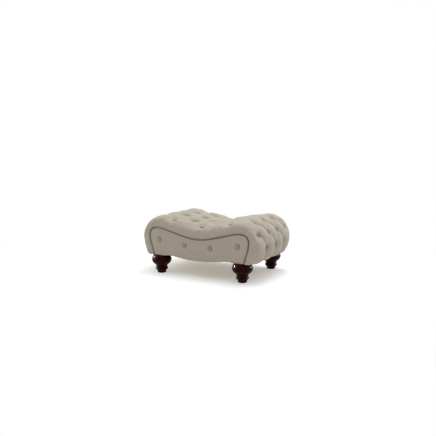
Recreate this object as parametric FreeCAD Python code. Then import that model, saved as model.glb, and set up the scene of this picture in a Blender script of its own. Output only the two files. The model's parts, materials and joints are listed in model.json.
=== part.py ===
import FreeCAD, Part
import math
import os

# A deep-buttoned saddle footstool on four turned feet. All sizes are in millimetres and degrees.
# X runs along the stool, Y across it with the front facing at -Y, and Z up. The origin is on the
# floor under the middle of the seat.

# The stool as a whole
foot_height = 120.0
foot_spacing_x = 582.0
foot_spacing_y = 436.0
facing_spacing = 522.0
band_spacing = 536.0

# The saddle outline of the facings, from its middle to one end, as stretches that meet smoothly
trim_middle_height = 251.0
trim_dip_radius = 438.0
trim_dip_angle = 14.2
trim_slope_length = 146.3
trim_crest_radius = 168.0
trim_crest_angle = 21.1
trim_roll_radius = 51.0
trim_roll_angle = 83.1
trim_side_radius = 194.0
trim_side_angle = 17.2

# The outline of the padding at the tops of its puffs, in the same way
puff_middle_height = 343.6
puff_dip_radius = 402.0
puff_dip_angle = 10.0
puff_slope_length = 167.5
puff_crest_radius = 180.0
puff_crest_angle = 41.0
puff_roll_radius = 155.0
puff_roll_angle = 59.0
puff_side_radius = 144.0
puff_side_angle = 34.6

# The lower edge of a facing, which bellies down between the feet
belly_half_length = 198.0
belly_rise = 6.0
belly_drop = 12.0
belly_flat_inset = 33.0

# Tufting: seven rows of buttons across the stool, in six columns from its middle to each end
tuft_pitch = 132.0
tuft_column_shares = (0.0, 0.141, 0.308, 0.521, 0.681, 0.848)
trim_column_shares = (0.0, 0.216, 0.424, 0.617, 0.698, 0.798)
pit_depth = 24.0
pleat_depth = 14.0
puff_fall = 5.0
hem_pleat_depth = 8.0
crown_drop = 14.0
crown_power = 2.5
crown_half_width = 231.0
band_pleat_depth = 9.0
shoulder_inset = 16.0
shoulder_drop = 30.0
shoulder_pleat_depth = 2.0
band_height = 24.0

# Covered buttons
button_radius = 12.5
button_rim = 2.5
button_dome = 4.5
button_sink = 3.0
panel_button_sink = 5.0
panel_button_outer_x = 277.6
panel_button_outer_z = 224.8
panel_button_inner_x = 91.3
panel_button_inner_z = 198.3

# Padding
cover_depth = 40.0
edge_roll_thickness = 30.0
edge_roll_overhang = 6.0

# Boards, rails and blocks
panel_thickness = 12.0
board_thickness = 15.0
rail_thickness = 22.0
rail_height = 60.0
stretcher_thickness = 22.0
stretcher_height = 50.0
block_height = 80.0
block_reach_x = 40.0
block_reach_y = 44.0
roll_rail_thickness = 26.0
batten_width = 20.0
batten_height = 20.0

# Webbing, hessian and dust cover
hessian_thickness = 1.5
webbing_thickness = 2.5
webbing_width = 50.0
webbing_pitch = 70.0
webbing_count = 7
end_webbing_pitch = 80.0
end_webbing_count = 4
dust_cover_thickness = 1.0
dust_cover_margin = 14.0

# Turned feet, as the radius and height of each member of the turning
foot_sole_radius = 28.0
foot_sole_height = 9.0
foot_ring_radius = 39.2
foot_ring_height = 30.0
foot_ring_thickness = 14.0
foot_neck_radius = 36.0
foot_neck_top = 45.0
foot_cove_radius = 44.5
foot_cove_top = 57.0
foot_bun_radius = 64.2
foot_bun_height = 80.0
foot_shoulder_radius = 60.0
foot_shoulder_height = 104.0
foot_top_radius = 52.5
foot_cove_share = 0.33
foot_bun_share = 0.67
foot_shoulder_share = 0.25
foot_cap_share = 0.4

# Fixings
glide_radius = 20.0
glide_thickness = 3.0
glide_pin_radius = 1.5
glide_pin_length = 12.0
bolt_radius = 4.0
bolt_length_in_foot = 40.0
bolt_length_in_block = 35.0
insert_wall = 2.5
insert_length = 16.0
dowel_radius = 4.0
dowel_length = 40.0
dowel_inset = 18.0
stretcher_dowel_length = 28.0
screw_radius = 2.0
screw_head_radius = 4.0
screw_head_height = 3.0
screw_length = 45.0
screw_inset = 15.0
nail_head_radius = 5.2
nail_head_height = 2.6
nail_radius = 0.9
nail_length = 20.0
nail_pitch = 12.5
nail_inset = 6.0

# Clearances, and the overrun of cutting shapes
seat_gap = 0.3
hole_gap = 0.1
overrun = 5.0
straight_share = 0.999999

base_height = foot_height
facing_y = facing_spacing / 2
board_outer_y = facing_y - panel_thickness
board_inner_y = board_outer_y - board_thickness
band_y = band_spacing / 2
foot_x = foot_spacing_x / 2
foot_y = foot_spacing_y / 2
block_inner_x = foot_x - block_reach_x
block_inner_y = foot_y - block_reach_y
FAR = math.inf
UP = FreeCAD.Vector(0, 0, 1)
ACROSS = FreeCAD.Vector(0, 1, 0)
LENGTHWISE = FreeCAD.Vector(1, 0, 0)
SIDES = {"left": -1, "right": 1}
FACES = {"front": -1, "back": 1}


class Saddle:
    """Half of a saddle outline over the base, mirrored for the other half.

    A place on it is given by its distance along the outline from the middle, negative to the left,
    and by how far it stands out from the outline along the outline's normal.
    """

    def __init__(self, middle_height, dip, slope_length, crest, roll, side):
        """Each of dip, crest, roll and side is a radius and the angle that it turns through."""
        self.runs = []
        self.x, self.z, self.heading, self.length = 0.0, middle_height, 0.0, 0.0
        self.turn(-1, *dip)
        self.straight(slope_length)
        for radius, angle in (crest, roll, side):
            self.turn(1, radius, angle)
        self.straight((self.z - base_height) / math.sin(-self.heading))

    def straight(self, length):
        self.runs.append((self.length, self.x, self.z, self.heading, 0.0))
        self.x += length * math.cos(self.heading)
        self.z += length * math.sin(self.heading)
        self.length += length

    def turn(self, down, radius, angle):
        self.runs.append((self.length, self.x, self.z, self.heading, down / radius))
        before = self.heading
        self.heading -= down * math.radians(angle)
        self.x += down * radius * (math.sin(before) - math.sin(self.heading))
        self.z += down * radius * (math.cos(self.heading) - math.cos(before))
        self.length += radius * math.radians(angle)

    def run_at(self, distance):
        return [run for run in self.runs if run[0] <= distance or run is self.runs[0]][-1]

    def heading_at(self, distance):
        start, _, _, heading, bend = self.run_at(abs(distance))
        return heading - bend * (abs(distance) - start)

    def normal(self, distance):
        heading = self.heading_at(distance)
        side = -1 if distance < 0 else 1
        return FreeCAD.Vector(-side * math.sin(heading), 0, math.cos(heading))

    def at(self, distance, out=0.0, y=0.0):
        """The point at this distance along the outline, this far out from it."""
        start, x, z, heading, bend = self.run_at(abs(distance))
        now = self.heading_at(distance)
        if bend:
            x += (math.sin(heading) - math.sin(now)) / bend
            z += (math.cos(now) - math.cos(heading)) / bend
        else:
            x += (abs(distance) - start) * math.cos(heading)
            z += (abs(distance) - start) * math.sin(heading)
        side = -1 if distance < 0 else 1
        return FreeCAD.Vector(side * x, y, z) + self.normal(distance) * out

    def end(self, out=0.0):
        """The distance at which the outline, moved out by this much, meets the base."""
        start, _, _, heading, _ = self.runs[-1]
        return start + (self.at(start, out).z - base_height) / math.sin(-heading)

    def edges(self, first, last, out=0.0):
        """The edges from one distance to another, this far out from the outline."""
        joints = [side * run[0] for run in self.runs[1:] for side in (-1, 1)]
        stops = [first, *sorted(j for j in joints if first < j < last), last]
        edges = []
        for a, b in zip(stops, stops[1:]):
            middle = (a + b) / 2
            if self.run_at(abs(middle))[4]:
                edges.append(Part.Arc(self.at(a, out), self.at(middle, out), self.at(b, out)).toShape())
            else:
                edges.append(Part.makeLine(self.at(a, out), self.at(b, out)))
        return edges


trim = Saddle(
    trim_middle_height,
    (trim_dip_radius, trim_dip_angle),
    trim_slope_length,
    (trim_crest_radius, trim_crest_angle),
    (trim_roll_radius, trim_roll_angle),
    (trim_side_radius, trim_side_angle),
)
puffs = Saddle(
    puff_middle_height,
    (puff_dip_radius, puff_dip_angle),
    puff_slope_length,
    (puff_crest_radius, puff_crest_angle),
    (puff_roll_radius, puff_roll_angle),
    (puff_side_radius, puff_side_angle),
)
crest_start = trim.runs[2][0]
roll_end = trim.runs[4][0]

# Rows across the stool, a quarter of the pitch apart, and the columns that have buttons in a row
half_rows = 6
row_step = tuft_pitch / 4
EVEN_COLUMNS = (0, 2, 4)
ODD_COLUMNS = (1, 3, 5)

# Layers under the trim outline, from the padding inwards, as distances out from the outline
hessian_top = -seat_gap
webbing_top = hessian_top - hessian_thickness - seat_gap
frame_top = webbing_top - webbing_thickness - seat_gap


def across(edges, y_low, y_high):
    """The solid that a closed ring of edges at Y = 0 makes when it is carried across the stool."""
    face = Part.Face(Part.Wire(edges))
    face.translate(ACROSS * y_low)
    return face.extrude(ACROSS * (y_high - y_low))


def layer(first, last, low, high, y_low, y_high):
    """A layer between two surfaces, from one distance along them to another.

    Each surface is an outline and how far out it lies. A distance past the end of the outline stops
    at the base, where the layer is then flat.
    """
    edges = []
    corners = []
    for saddle, out in (low, high):
        reach = saddle.end(out)
        start, stop = max(first, -reach), min(last, reach)
        edges += saddle.edges(start, stop, out)
        corners.append((saddle.at(start, out), saddle.at(stop, out)))
    edges += [Part.makeLine(a, b) for a, b in zip(*corners)]
    return across(Part.__sortEdges__(edges), y_low, y_high)


def arch_edges(saddle, out):
    """The whole outline, this far out, from base to base."""
    return saddle.edges(-saddle.end(out), saddle.end(out), out)


def under(saddle, out, y_low, y_high):
    """Everything under an outline, down past the base, as a cutting shape."""
    right = saddle.at(saddle.end(out), out)
    left = saddle.at(-saddle.end(out), out)
    down = UP * -(overrun + belly_drop)
    skirt = Part.makePolygon([right, right + down, left + down, left]).Edges
    return across(Part.__sortEdges__(arch_edges(saddle, out) + skirt), y_low, y_high)


def mirrored(point):
    return FreeCAD.Vector(-point.x, point.y, point.z)


def span(a, b):
    """Two places in rising order, for a piece that is made on either side of the middle."""
    return (a, b) if a < b else (b, a)


def facing(y_low, y_high):
    """A plate with the saddle outline, whose lower edge bellies down between the feet."""
    right = trim.at(trim.end())
    flat = FreeCAD.Vector(foot_x - belly_flat_inset, 0, base_height)
    rise = FreeCAD.Vector(belly_half_length, 0, base_height + belly_rise)
    bottom = FreeCAD.Vector(0, 0, base_height - belly_drop)
    edges = [
        Part.makeLine(right, flat),
        Part.makeLine(flat, rise),
        Part.Arc(rise, bottom, mirrored(rise)).toShape(),
        Part.makeLine(mirrored(rise), mirrored(flat)),
        Part.makeLine(mirrored(flat), mirrored(right)),
    ]
    return across(Part.__sortEdges__(arch_edges(trim, 0) + edges), y_low, y_high)


def hole(start, direction, radius, length):
    """The hole for a bar: the gap all round it and at its end, and the overrun before its start."""
    mouth = start - direction * overrun
    return Part.makeCylinder(radius + hole_gap, length + overrun + hole_gap, mouth, direction)


def turned(points, base, direction):
    """A solid turned from a profile of edges in X and Z, set at a base point along a direction."""
    solid = Part.Face(Part.Wire(points)).revolve(FreeCAD.Vector(0, 0, 0), UP, 360)
    solid.Placement = FreeCAD.Placement(base, FreeCAD.Rotation(UP, direction))
    return solid


def save(name, shapes):
    """Writes one node, as a single solid or as a group of separate solids."""
    shape = shapes[0] if len(shapes) == 1 else Part.makeCompound(shapes)
    shape.exportStep(os.path.join("parts", name + ".step"))


def bow(start, middle, stop):
    """An arc through three points, or a straight edge where they stand in one line."""
    if abs((middle - start).normalize().dot((stop - start).normalize())) > straight_share:
        return Part.makeLine(start, stop)
    return Part.Arc(start, middle, stop).toShape()


# Tufted cover


def crown(y):
    """How far the tops of the puffs drop towards the facings."""
    return crown_drop * (abs(y) / crown_half_width) ** crown_power


def tuft_section(saddle, shares, y, out, buttons, pit, pleat, crest, hem):
    """One closed section of the tufted log at a row across the stool.

    Each column is one edge: a short floor at a button, or else an arc over a puff. buttons holds the
    columns with a button, pit, pleat and crest are the depths of floors, of the folds between
    columns and of the tops of puffs, and hem is the depth of the lower edge.
    """

    def spot(side, place):
        return saddle.at(side * place[0], out - place[1], y)

    ends = saddle.end(out - hem)
    columns = [share * saddle.length for share in shares]
    last = len(columns) - 1
    bounds = []
    for k, column in enumerate(columns):
        if k in buttons:
            bounds.append((column + button_radius, pit))
        elif k + 1 in buttons:
            bounds.append((columns[k + 1] - button_radius, pit))
        elif k < last:
            bounds.append(((column + columns[k + 1]) / 2, pleat))
        else:
            bounds.append(((column + ends) / 2, crest))
    hem_middle = ((bounds[-1][0] + ends) / 2, pleat if last in buttons else crest)
    tops = [None if k in buttons else (columns[k], crest) for k in range(last + 1)] + [hem_middle]
    bounds.append((ends, hem))
    halves = {}
    for side in (-1, 1):
        halves[side] = []
        for k in range(1, last + 2):
            start, stop = spot(side, bounds[k - 1]), spot(side, bounds[k])
            if tops[k] is None:
                halves[side].append(Part.makeLine(start, stop))
            else:
                halves[side].append(bow(start, spot(side, tops[k]), stop))
    left, right = spot(-1, bounds[0]), spot(1, bounds[0])
    middle = Part.makeLine(left, right)
    if tops[0] is not None:
        middle = bow(left, spot(1, tops[0]), right)
    sole = Part.makeLine(spot(1, bounds[-1]), spot(-1, bounds[-1]))
    return Part.Wire([middle, *halves[1], sole, *reversed(halves[-1])])


def row_buttons(row):
    """The columns that hold a button in this row, which alternate from one row to the next."""
    if row % 2:
        return ()
    return ODD_COLUMNS if row % 4 == 0 else EVEN_COLUMNS


def tufted_sections():
    """The sections of the cover from the front to the back, with the band at both ends."""
    band_rows = [
        (trim, trim_column_shares, band_y, band_height, 0.0),
        (puffs, tuft_column_shares, band_y - shoulder_inset, -shoulder_drop, shoulder_pleat_depth),
        (puffs, tuft_column_shares, crown_half_width, -crown_drop, band_pleat_depth),
    ]
    sections = []
    for saddle, shares, y, out, pit in band_rows:
        sections.append(tuft_section(saddle, shares, -y, out, EVEN_COLUMNS, pit, 0, 0, 0))
    for row in range(-half_rows, half_rows + 1):
        y = row * row_step
        buttons = row_buttons(row)
        crest = 0 if buttons else puff_fall
        hem = hem_pleat_depth if buttons == ODD_COLUMNS else crest
        depths = (pit_depth, pleat_depth, crest, hem)
        sections.append(tuft_section(puffs, tuft_column_shares, y, -crown(y), buttons, *depths))
    for saddle, shares, y, out, pit in reversed(band_rows):
        sections.append(tuft_section(saddle, shares, y, out, EVEN_COLUMNS, pit, 0, 0, 0))
    return sections


def button_seats():
    """Where each tuft button sits, as its column, the middle of its seat and the way it faces."""
    seats = []
    for row in range(-half_rows, half_rows + 1):
        y = row * row_step
        for column in row_buttons(row):
            for side in (1,) if column == 0 else (-1, 1):
                distance = side * tuft_column_shares[column] * puffs.length
                depth = pit_depth + button_sink + crown(y)
                seats.append((column * side, puffs.at(distance, -depth, y), puffs.normal(distance)))
    return seats


def pocket(seat, direction):
    """The hole that a covered button pulls into the padding."""
    return Part.makeCylinder(button_radius + seat_gap, pit_depth, seat, direction)


def button(seat, direction):
    """A covered button: a flat disc with a domed top."""
    top = button_rim + button_dome
    centre_z = (top**2 - button_rim**2 - button_radius**2) / (2 * button_dome)
    ball = top - centre_z
    share = math.asin(button_radius / ball) / 2
    middle = FreeCAD.Vector(ball * math.sin(share), 0, centre_z + ball * math.cos(share))
    rim_top = FreeCAD.Vector(button_radius, 0, button_rim)
    crown_top = FreeCAD.Vector(0, 0, top)
    profile = [
        Part.makeLine(FreeCAD.Vector(0, 0, 0), FreeCAD.Vector(button_radius, 0, 0)),
        Part.makeLine(FreeCAD.Vector(button_radius, 0, 0), rim_top),
        Part.Arc(rim_top, middle, crown_top).toShape(),
        Part.makeLine(crown_top, FreeCAD.Vector(0, 0, 0)),
    ]
    return turned(profile, seat + direction * seat_gap, direction)


def make_cover():
    """The cover with its wadding: the tufted log, hollowed for the foam, the rolls and the boards."""
    log = Part.makeLoft(tufted_sections(), True, True)
    foam_y = board_inner_y
    hollows = [under(puffs, seat_gap - cover_depth, -foam_y, foam_y)]
    for side in (-1, 1):
        ends = span(side * foam_y, side * (board_outer_y + edge_roll_overhang))
        hollows.append(under(trim, edge_roll_thickness + 2 * seat_gap, *ends))
    hollows.append(under(trim, seat_gap, -band_y - overrun, band_y + overrun))
    pockets = [pocket(seat, direction) for _, seat, direction in button_seats()]
    return log.cut(hollows).cut(pockets)


def make_padding():
    """The seat foam over the hessian, and a roll of foam over the edge of each board."""
    foam_y = board_inner_y - seat_gap
    save("seat_foam", [layer(-FAR, FAR, (trim, 0), (puffs, -cover_depth), -foam_y, foam_y)])
    for name, side in FACES.items():
        ends = span(side * board_inner_y, side * (board_outer_y + edge_roll_overhang - seat_gap))
        surfaces = ((trim, seat_gap), (trim, seat_gap + edge_roll_thickness))
        save(name + "_edge_roll", [layer(-FAR, FAR, *surfaces, *ends)])


def make_tuft_buttons():
    groups = {"seat_buttons": [], "left_end_buttons": [], "right_end_buttons": []}
    for column, seat, direction in button_seats():
        name = "seat_buttons"
        if abs(column) > ODD_COLUMNS[1]:
            name = "left_end_buttons" if column < 0 else "right_end_buttons"
        groups[name].append(button(seat, direction))
    for name, buttons in groups.items():
        save(name, buttons)


# Facings


def nail_places():
    """Where the nails stand along the trim outline, evenly from one foot to the other."""
    reach = trim.end(-nail_inset) - nail_pitch / 2
    count = round(2 * reach / nail_pitch)
    return [trim.at(reach * (2 * n / count - 1), -nail_inset) for n in range(count + 1)]


def make_nail(face, inward):
    """A domed nail head on its shank."""
    ball = (nail_head_radius**2 + nail_head_height**2) / (2 * nail_head_height)
    half = math.asin(nail_head_radius / ball) / 2
    top = FreeCAD.Vector(0, 0, nail_head_height)
    middle = FreeCAD.Vector(ball * math.sin(half), 0, nail_head_height - ball + ball * math.cos(half))
    rim = FreeCAD.Vector(nail_head_radius, 0, 0)
    neck = FreeCAD.Vector(nail_radius, 0, 0)
    tip = FreeCAD.Vector(nail_radius, 0, -nail_length)
    point = FreeCAD.Vector(0, 0, -nail_length)
    profile = [
        Part.makeLine(point, tip),
        Part.makeLine(tip, neck),
        Part.makeLine(neck, rim),
        Part.Arc(rim, middle, top).toShape(),
        Part.makeLine(top, point),
    ]
    return turned(profile, face, inward * -1)


def panel_button_places():
    places = []
    for x, z in (
        (panel_button_outer_x, panel_button_outer_z),
        (panel_button_inner_x, panel_button_inner_z),
    ):
        places += [FreeCAD.Vector(-x, 0, z), FreeCAD.Vector(x, 0, z)]
    return places


def screw_places():
    """Where the screws of a facing board stand: two in each block, one in each roll rail."""
    places = []
    for side in (-1, 1):
        x = side * (foot_x - bolt_radius - screw_radius)
        for height in (block_height / 2 + screw_radius, block_height - screw_inset):
            places.append(FreeCAD.Vector(x, 0, base_height + height))
        middle = side * (crest_start + roll_end) / 2
        places.append(trim.at(middle, frame_top - roll_rail_thickness / 2))
    return places


def make_screw(start, direction, gap=0.0):
    """A countersunk screw that goes in along a direction, or with a gap the hole for it."""
    cone = Part.makeCone(screw_head_radius + gap, screw_radius + gap, screw_head_height, start, direction)
    shank = Part.makeCylinder(screw_radius + gap, screw_length + gap, start, direction)
    return cone.fuse(shank)


def make_facings():
    for name, side in FACES.items():
        outward = ACROSS * side
        inward = ACROSS * -side
        face_y = ACROSS * (side * facing_y)
        nails = [make_nail(place + face_y, inward) for place in nail_places()]
        nail_holes = [hole(place + face_y, inward, nail_radius, nail_length) for place in nail_places()]
        seats = [place + face_y + inward * panel_button_sink for place in panel_button_places()]
        pockets = [pocket(seat, outward) for seat in seats]
        panel = facing(*span(side * board_outer_y, side * facing_y)).cut(nail_holes).cut(pockets)
        starts = [place + ACROSS * (side * board_outer_y) for place in screw_places()]
        screw_holes = [make_screw(start, inward, hole_gap) for start in starts]
        board = facing(*span(side * board_inner_y, side * board_outer_y))
        board = board.cut(nail_holes).cut(screw_holes)
        save(name + "_facing_panel", [panel])
        save(name + "_facing_board", [board])
        save(name + "_nail_trim", nails)
        save(name + "_panel_buttons", [button(seat, outward) for seat in seats])
        save(name + "_board_screws", [make_screw(start, inward) for start in starts])


def all_screw_holes():
    holes = []
    for side in FACES.values():
        for place in screw_places():
            start = place + ACROSS * (side * board_outer_y)
            holes.append(make_screw(start, ACROSS * -side, hole_gap))
    return holes


# Frame


def dowels(gap=0.0):
    """The dowels of the frame, or with a gap the holes for them."""
    solids = []
    reach = dowel_length / 2 + gap
    rail_y = board_inner_y - rail_thickness / 2
    for face in (-1, 1):
        for height in (dowel_inset, rail_height - dowel_inset):
            z = base_height + height
            for side in (-1, 1):
                joint = FreeCAD.Vector(side * block_inner_x, face * rail_y, z)
                start = joint - LENGTHWISE * reach
                solids.append(Part.makeCylinder(dowel_radius + gap, 2 * reach, start, LENGTHWISE))
                along = side * (trim.end() - height)
                out = frame_top - rail_thickness / 2
                joint = trim.at(along, out, face * block_inner_y)
                start = joint - ACROSS * reach
                solids.append(Part.makeCylinder(dowel_radius + gap, 2 * reach, start, ACROSS))
        short_reach = stretcher_dowel_length / 2 + gap
        for height in (dowel_inset, stretcher_height - dowel_inset):
            joint = FreeCAD.Vector(0, face * (board_inner_y - rail_thickness), base_height + height)
            start = joint - ACROSS * short_reach
            solids.append(Part.makeCylinder(dowel_radius + gap, 2 * short_reach, start, ACROSS))
    return solids


def foot_centres():
    return {
        face + "_" + side: FreeCAD.Vector(SIDES[side] * foot_x, FACES[face] * foot_y, 0)
        for face in FACES
        for side in SIDES
    }


def make_block(centre):
    """A corner block: upright inside, and outside it follows the side of the outline."""
    side = -1 if centre.x < 0 else 1
    low = trim.end(frame_top)
    outer = trim.edges(*span(side * (low - block_height), side * low), frame_top)
    foot = trim.at(side * low, frame_top)
    head = trim.at(side * (low - block_height), frame_top)
    inner_foot = FreeCAD.Vector(side * block_inner_x, 0, foot.z)
    inner_head = FreeCAD.Vector(side * block_inner_x, 0, head.z)
    inner = Part.makePolygon([foot, inner_foot, inner_head, head]).Edges
    ends = span(math.copysign(block_inner_y, centre.y), math.copysign(board_inner_y, centre.y))
    return across(Part.__sortEdges__(outer + inner), *ends)


def make_frame():
    dowel_holes = dowels(hole_gap)
    save("frame_dowels", dowels())
    rail_inner_y = board_inner_y - rail_thickness
    for name, face in FACES.items():
        low_y = min(face * rail_inner_y, face * board_inner_y)
        corner = FreeCAD.Vector(-block_inner_x, low_y, base_height)
        rail = Part.makeBox(2 * block_inner_x, rail_thickness, rail_height, corner)
        save(name + "_rail", [rail.cut(dowel_holes)])
        ends = span(face * (board_inner_y - batten_width), face * board_inner_y)
        reach = crest_start - seat_gap
        batten = layer(-reach, reach, (trim, frame_top - batten_height), (trim, frame_top), *ends)
        save(name + "_tack_batten", [batten])
    for name, side in SIDES.items():
        ends = span(side * (trim.end(frame_top) - rail_height), side * FAR)
        surfaces = ((trim, frame_top - rail_thickness), (trim, frame_top))
        rail = layer(*ends, *surfaces, -block_inner_y, block_inner_y)
        save(name + "_end_rail", [rail.cut(dowel_holes)])
        ends = span(side * crest_start, side * roll_end)
        surfaces = ((trim, frame_top - roll_rail_thickness), (trim, frame_top))
        rail = layer(*ends, *surfaces, -board_inner_y, board_inner_y)
        save(name + "_roll_rail", [rail.cut(all_screw_holes())])
    corner = FreeCAD.Vector(-stretcher_thickness / 2, -rail_inner_y, base_height)
    stretcher = Part.makeBox(stretcher_thickness, 2 * rail_inner_y, stretcher_height, corner)
    save("centre_stretcher", [stretcher.cut(dowel_holes)])


def make_webbing():
    reach = board_inner_y - seat_gap
    surfaces = ((trim, webbing_top - webbing_thickness), (trim, webbing_top))
    straps = []
    for n in range(webbing_count):
        middle = (n - (webbing_count - 1) / 2) * webbing_pitch
        ends = (middle - webbing_width / 2, middle + webbing_width / 2)
        straps.append(layer(*ends, *surfaces, -reach, reach))
    save("seat_webbing", straps)
    for name, side in SIDES.items():
        straps = []
        ends = span(side * (crest_start + roll_end) / 2, side * FAR)
        for n in range(end_webbing_count):
            y = (n - (end_webbing_count - 1) / 2) * end_webbing_pitch - webbing_width / 2
            straps.append(layer(*ends, *surfaces, y, y + webbing_width))
        save(name + "_end_webbing", straps)
    surfaces = ((trim, hessian_top - hessian_thickness), (trim, hessian_top))
    save("hessian", [layer(-FAR, FAR, *surfaces, -reach, reach)])


# Feet and what holds them


def turning(points):
    """The edges of a turning, from members given as radius, height and how far each one bows out.

    The bow is a share of the change of radius from the member before, or None for a straight edge.
    """
    edges = []
    for (r0, z0, _), (r1, z1, bow_share) in zip(points, points[1:]):
        start, stop = FreeCAD.Vector(r0, 0, z0), FreeCAD.Vector(r1, 0, z1)
        if bow_share is None:
            edges.append(Part.makeLine(start, stop))
        else:
            middle = FreeCAD.Vector(r0 + (r1 - r0) * bow_share, 0, (z0 + z1) / 2)
            edges.append(Part.Arc(start, middle, stop).toShape())
    return edges


def make_foot(centre):
    """A bun foot turned from one profile, bored for its bolt and for the pin of its glide."""
    ring_low = foot_ring_height - foot_ring_thickness / 2
    ring_high = foot_ring_height + foot_ring_thickness / 2
    ring = Part.Arc(
        FreeCAD.Vector(foot_neck_radius, 0, ring_low),
        FreeCAD.Vector(foot_ring_radius, 0, foot_ring_height),
        FreeCAD.Vector(foot_neck_radius, 0, ring_high),
    ).toShape()
    under_ring = [
        (0, glide_thickness, None),
        (foot_sole_radius, glide_thickness, None),
        (foot_sole_radius, foot_sole_height, None),
        (foot_neck_radius, ring_low, foot_cove_share),
    ]
    over_ring = [
        (foot_neck_radius, ring_high, None),
        (foot_neck_radius, foot_neck_top, None),
        (foot_cove_radius, foot_cove_top, foot_cove_share),
        (foot_bun_radius, foot_bun_height, foot_bun_share),
        (foot_shoulder_radius, foot_shoulder_height, foot_shoulder_share),
        (foot_top_radius, foot_height, foot_cap_share),
        (0, foot_height, None),
        (0, glide_thickness, None),
    ]
    foot = turned([*turning(under_ring), ring, *turning(over_ring)], centre, UP)
    bolt_hole = hole(centre + UP * foot_height, UP * -1, bolt_radius, bolt_length_in_foot)
    pin_hole = hole(centre + UP * glide_thickness, UP, glide_pin_radius, glide_pin_length)
    return foot.cut([bolt_hole, pin_hole])


def make_feet():
    glides, bolts, inserts = [], [], []
    dowel_holes = dowels(hole_gap)
    screw_holes = all_screw_holes()
    for name, centre in foot_centres().items():
        save("foot_" + name, [make_foot(centre)])
        disc = Part.makeCylinder(glide_radius, glide_thickness, centre, UP)
        pin = Part.makeCylinder(glide_pin_radius, glide_thickness + glide_pin_length, centre, UP)
        glides.append(disc.fuse(pin))
        start = centre + UP * (foot_height - bolt_length_in_foot)
        bolt_length = bolt_length_in_foot + bolt_length_in_block
        bolts.append(Part.makeCylinder(bolt_radius, bolt_length, start, UP))
        top = centre + UP * base_height
        sleeve = Part.makeCylinder(bolt_radius + insert_wall, insert_length, top, UP)
        bolt_hole = hole(top, UP, bolt_radius, bolt_length_in_block)
        inserts.append(sleeve.cut(bolt_hole))
        holes = [bolt_hole, hole(top, UP, bolt_radius + insert_wall, insert_length)]
        save("corner_block_" + name, [make_block(centre).cut(holes + dowel_holes + screw_holes)])
    save("floor_glides", glides)
    save("hanger_bolts", bolts)
    save("threaded_inserts", inserts)


def make_dust_cover():
    """The cloth under the frame, cut out round the feet."""
    half_x = trim.at(trim.end()).x - dust_cover_margin
    half_y = board_inner_y - seat_gap
    corner = FreeCAD.Vector(-half_x, -half_y, base_height - dust_cover_thickness)
    cloth = Part.makeBox(2 * half_x, 2 * half_y, dust_cover_thickness, corner)
    holes = [
        Part.makeCylinder(foot_shoulder_radius + seat_gap, foot_height + overrun, centre, UP)
        for centre in foot_centres().values()
    ]
    save("dust_cover", [cloth.cut(holes)])


os.makedirs("parts", exist_ok=True)
save("tufted_cover", [make_cover()])
make_padding()
make_tuft_buttons()
make_facings()
make_frame()
make_webbing()
make_feet()
make_dust_cover()
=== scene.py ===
"""Looks of a deep-buttoned saddle footstool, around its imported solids.

Lengths are in metres. X runs along the stool, -Y out of the front facing and Z up from the floor.
"""

import json
import math

import bmesh
import bpy
import numpy as np
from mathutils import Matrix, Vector

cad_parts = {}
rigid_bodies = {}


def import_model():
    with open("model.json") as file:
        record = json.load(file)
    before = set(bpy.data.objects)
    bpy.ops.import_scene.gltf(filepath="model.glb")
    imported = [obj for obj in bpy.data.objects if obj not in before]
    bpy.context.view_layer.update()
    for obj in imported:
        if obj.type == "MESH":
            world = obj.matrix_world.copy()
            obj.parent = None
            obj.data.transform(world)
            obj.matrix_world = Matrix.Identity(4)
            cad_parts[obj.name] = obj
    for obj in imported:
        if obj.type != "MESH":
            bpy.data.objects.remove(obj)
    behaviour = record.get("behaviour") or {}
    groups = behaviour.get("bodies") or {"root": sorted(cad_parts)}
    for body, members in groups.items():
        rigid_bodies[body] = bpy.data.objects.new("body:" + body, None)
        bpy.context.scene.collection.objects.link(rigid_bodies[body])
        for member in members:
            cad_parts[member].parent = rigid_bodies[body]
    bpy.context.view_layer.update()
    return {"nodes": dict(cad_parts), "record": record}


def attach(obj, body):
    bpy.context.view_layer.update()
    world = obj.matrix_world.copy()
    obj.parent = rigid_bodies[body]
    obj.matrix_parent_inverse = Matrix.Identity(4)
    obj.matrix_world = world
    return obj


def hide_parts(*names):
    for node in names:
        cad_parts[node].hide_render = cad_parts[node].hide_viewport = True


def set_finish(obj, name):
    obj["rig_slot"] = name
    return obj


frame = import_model()
nodes = frame["nodes"]
chance = np.random.default_rng(27)

# The stool, with the same sizes as its solids
base_height = 0.120
facing_y = 0.261
board_outer_y = 0.249
board_inner_y = 0.234
seam_y = 0.2613
band_y = 0.2688
foot_x, foot_y = 0.291, 0.218
pad_thickness = 0.040
roll_top = 0.0306
roll_y = 0.255

# The saddle line of the facings and the line over the tops of the puffs: distance from the middle
# where each run ends, and the heading there in degrees
trim_ends = (0.0, 0.10855, 0.25485, 0.31672, 0.39069, 0.44893, 0.52868)
trim_headings = (0.0, 14.2, 14.2, -6.9, -90.0, -107.2, -107.2)
trim_middle_height = 0.251
puff_ends = (0.0, 0.07016, 0.23766, 0.36647, 0.52608, 0.61304, 0.63868)
puff_headings = (0.0, 10.0, 10.0, -31.0, -90.0, -124.6, -124.6)
puff_middle_height = 0.3436

# Columns of buttons, as distances along each line, and the rows across
puff_columns = (0.0, 0.0901, 0.1967, 0.3328, 0.4349, 0.5416, 0.63868)
trim_columns = (0.0, 0.1142, 0.2242, 0.3262, 0.3690, 0.4219, 0.52868)
column_numbers = np.arange(7.0)
row_pitch = 0.066
last_column, last_row = 5, 3
panel_button_places = ((-0.2776, 0.2248), (-0.0913, 0.1983), (0.0913, 0.1983), (0.2776, 0.2248))

# The cover's section: how much of its height the crown takes, and the size of a face
crown_share = 0.64
crown_power = 2.9
crown_height = 0.088
cell = 0.0055

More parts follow.
